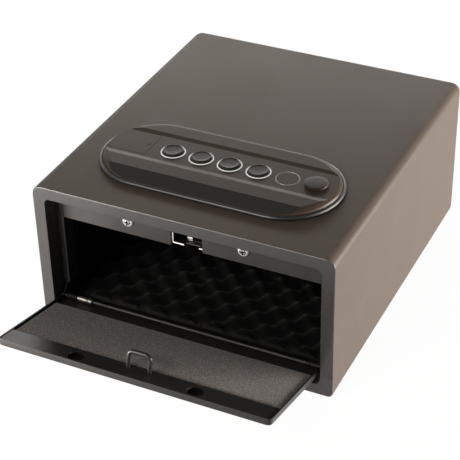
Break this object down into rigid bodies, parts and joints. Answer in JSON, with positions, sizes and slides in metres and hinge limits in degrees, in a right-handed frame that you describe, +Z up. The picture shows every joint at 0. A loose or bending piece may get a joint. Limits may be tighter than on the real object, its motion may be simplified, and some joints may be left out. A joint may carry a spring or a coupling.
{
  "type": "portable car safe",
  "caption": "Low steel car safe with a drop-down front door, a round-ended keypad panel with lit keys on the lid, a key override and a foam-lined inside.",
  "frame": {"origin": "centre of the body's underside", "axes": "+X to the right, +Y from the front to the back, +Z up"},
  "size_m": [0.254, 0.3758, 0.1369],
  "materials": {
    "body_coat": "textured powder coat",
    "inner_coat": "satin coat",
    "pad_foam": "dense foam sheet",
    "lining_foam": "black open foam",
    "plated_steel": "zinc plated",
    "bright_plate": "bright plated",
    "panel_plastic": "semi-gloss",
    "light_plastic": "milky light guide",
    "black_rubber": "matt",
    "black_plastic": "matt",
    "board_resin": "satin",
    "lock_brass": "machined",
    "cell_wrap": "printed film, left plain"
  },
  "bodies": {
    "safe_body": {"outer_body": "body_coat", "back_panel": "inner_coat", "door_stop_left": "inner_coat", "door_stop_right": "inner_coat", "lock_cover": "inner_coat", "left_foam": "lining_foam", "right_foam": "lining_foam", "floor_foam": "lining_foam", "back_foam": "lining_foam", "hinge_rod": "plated_steel", "hinge_spring_left": "plated_steel", "hinge_spring_right": "plated_steel", "hook_pin": "plated_steel", "solenoid": "plated_steel", "bar_guide": "plated_steel", "panel_nut_left": "plated_steel", "panel_nut_right": "plated_steel", "key_lock_body": "plated_steel", "key_lock_nut": "plated_steel", "battery_contact": "plated_steel", "hinge_sleeve": "bright_plate", "cover_screw_left": "bright_plate", "cover_screw_right": "bright_plate", "latch_frame": "bright_plate", "marker_ring": "bright_plate", "keypad_housing": "panel_plastic", "light_ring_1": "light_plastic", "light_ring_2": "light_plastic", "light_ring_3": "light_plastic", "light_ring_4": "light_plastic", "keypad_gasket": "black_rubber", "anchor_plug_1": "black_rubber", "anchor_plug_2": "black_rubber", "anchor_plug_3": "black_rubber", "anchor_plug_4": "black_rubber", "battery_well": "black_plastic", "circuit_board": "board_resin", "battery_cell_1": "cell_wrap", "battery_cell_2": "cell_wrap", "battery_cell_3": "cell_wrap", "battery_cell_4": "cell_wrap"},
    "door": {"door_panel": "inner_coat", "door_edge_channel": "inner_coat", "door_pad": "pad_foam", "striker_loop": "plated_steel"},
    "latch_hook": {"latch_hook": "plated_steel"},
    "lock_bar": {"lock_bar": "plated_steel", "solenoid_plunger": "plated_steel"},
    "key": {"key_plug": "lock_brass", "key_cam": "plated_steel"},
    "key_cap": {"key_cap": "panel_plastic"},
    "battery_cover": {"battery_cover": "panel_plastic"},
    "key_button_1": {"key_button_1": "panel_plastic"},
    "key_button_2": {"key_button_2": "panel_plastic"},
    "key_button_3": {"key_button_3": "panel_plastic"},
    "key_button_4": {"key_button_4": "panel_plastic"}
  },
  "joints": [
    {"name": "door_hinge", "type": "hinge", "parent": "safe_body", "child": "door", "pos_m": [0, -0.1338, 0.018], "axis": [-1, 0, 0], "range_deg": [0, 76.6]},
    {"name": "latch_hook_turn", "type": "hinge", "parent": "safe_body", "child": "latch_hook", "pos_m": [0, -0.107, 0.107], "axis": [1, 0, 0], "range_deg": [0, 30], "stiffness_Nm_per_rad": 0.05},
    {"name": "lock_bar_slide", "type": "slide", "parent": "safe_body", "child": "lock_bar", "axis": [1, 0, 0], "range_m": [0, 0.007]},
    {"name": "key_turn", "type": "hinge", "parent": "safe_body", "child": "key", "pos_m": [0.0792, -0.0659, 0.11], "axis": [0, 0, 1], "range_deg": [-90, 0]},
    {"name": "key_cap_lift", "type": "slide", "parent": "safe_body", "child": "key_cap", "axis": [0, 0, 1], "range_m": [0, 0.012]},
    {"name": "battery_cover_lift", "type": "slide", "parent": "safe_body", "child": "battery_cover", "axis": [0, 0, 1], "range_m": [0, 0.012]},
    {"name": "key_button_1_press", "type": "slide", "parent": "safe_body", "child": "key_button_1", "axis": [0, 0, -1], "range_m": [0, 0.001], "stiffness_N_per_m": 300},
    {"name": "key_button_2_press", "type": "slide", "parent": "safe_body", "child": "key_button_2", "axis": [0, 0, -1], "range_m": [0, 0.001], "stiffness_N_per_m": 300},
    {"name": "key_button_3_press", "type": "slide", "parent": "safe_body", "child": "key_button_3", "axis": [0, 0, -1], "range_m": [0, 0.001], "stiffness_N_per_m": 300},
    {"name": "key_button_4_press", "type": "slide", "parent": "safe_body", "child": "key_button_4", "axis": [0, 0, -1], "range_m": [0, 0.001], "stiffness_N_per_m": 300}
  ],
  "couplings": [
    {"joint": "latch_hook_turn", "follows": "lock_bar_slide", "rad_per_m": 74.7}
  ]
}
